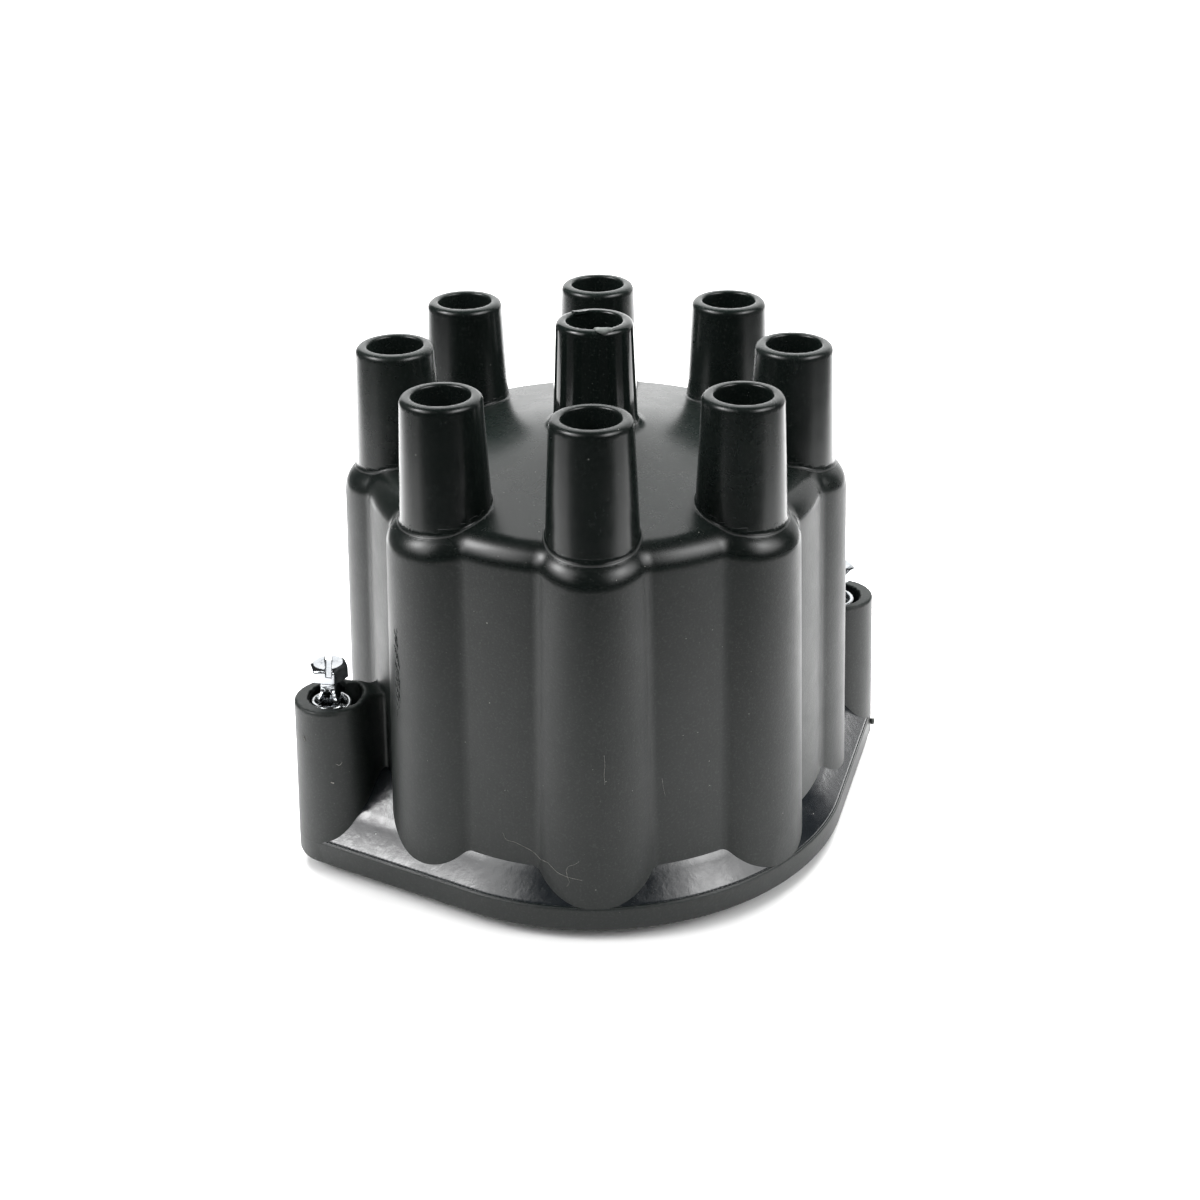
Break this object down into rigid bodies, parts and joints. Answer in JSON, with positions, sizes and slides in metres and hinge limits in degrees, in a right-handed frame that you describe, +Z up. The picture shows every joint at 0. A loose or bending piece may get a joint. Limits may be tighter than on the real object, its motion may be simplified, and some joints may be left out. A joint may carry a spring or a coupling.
{
  "type": "distributor cap",
  "caption": "Black moulded ignition distributor cap: fluted body, ring of lead towers around a centre tower, flange with two ears holding spring-loaded slotted latch screws.",
  "frame": {"origin": "on the cap's axis at the flange underside, the face that seats on the housing", "axes": "+Z up along the cap's axis towards the towers; -Y towards the side that faces the camera; the two ears lie at 22.5 and 202.5 degrees from +X"},
  "size_m": [0.12, 0.1034, 0.1056],
  "materials": {
    "black_moulding": "moulded phenolic, satin with glossier curves",
    "terminal_brass": "turned",
    "carbon": "pressed carbon",
    "spring_steel": "bright drawn wire",
    "bright_zinc": "bright zinc plate"
  },
  "bodies": {
    "cap": {"cap_body": "black_moulding", "terminal_1": "terminal_brass", "terminal_2": "terminal_brass", "terminal_3": "terminal_brass", "terminal_4": "terminal_brass", "terminal_5": "terminal_brass", "terminal_6": "terminal_brass", "terminal_7": "terminal_brass", "terminal_8": "terminal_brass", "centre_terminal": "terminal_brass", "button_spring": "spring_steel"},
    "button": {"carbon_button": "carbon"},
    "spring_left": {"latch_spring_left": "spring_steel"},
    "latch_left": {"latch_screw_left": "bright_zinc", "latch_hook_left": "bright_zinc"},
    "spring_right": {"latch_spring_right": "spring_steel"},
    "latch_right": {"latch_screw_right": "bright_zinc", "latch_hook_right": "bright_zinc"}
  },
  "joints": [
    {"name": "button_press", "type": "slide", "parent": "cap", "child": "button", "axis": [0, 0, 1], "range_m": [0, 0.0015], "stiffness_N_per_m": 300, "springref_m": -0.001, "deforming": ["button_spring"]},
    {"name": "latch_left_turn", "type": "hinge", "parent": "cap", "child": "spring_left", "pos_m": [-0.05174, -0.02104, 0], "axis": [0, 0, 1], "range_deg": [-90, 90]},
    {"name": "latch_left_press", "type": "slide", "parent": "spring_left", "child": "latch_left", "axis": [0, 0, -1], "range_m": [0, 0.006], "stiffness_N_per_m": 2500, "springref_m": -0.002, "deforming": ["latch_spring_left"]},
    {"name": "latch_right_turn", "type": "hinge", "parent": "cap", "child": "spring_right", "pos_m": [0.05079, 0.02104, 0], "axis": [0, 0, 1], "range_deg": [-90, 90]},
    {"name": "latch_right_press", "type": "slide", "parent": "spring_right", "child": "latch_right", "axis": [0, 0, -1], "range_m": [0, 0.006], "stiffness_N_per_m": 2500, "springref_m": -0.002, "deforming": ["latch_spring_right"]}
  ]
}
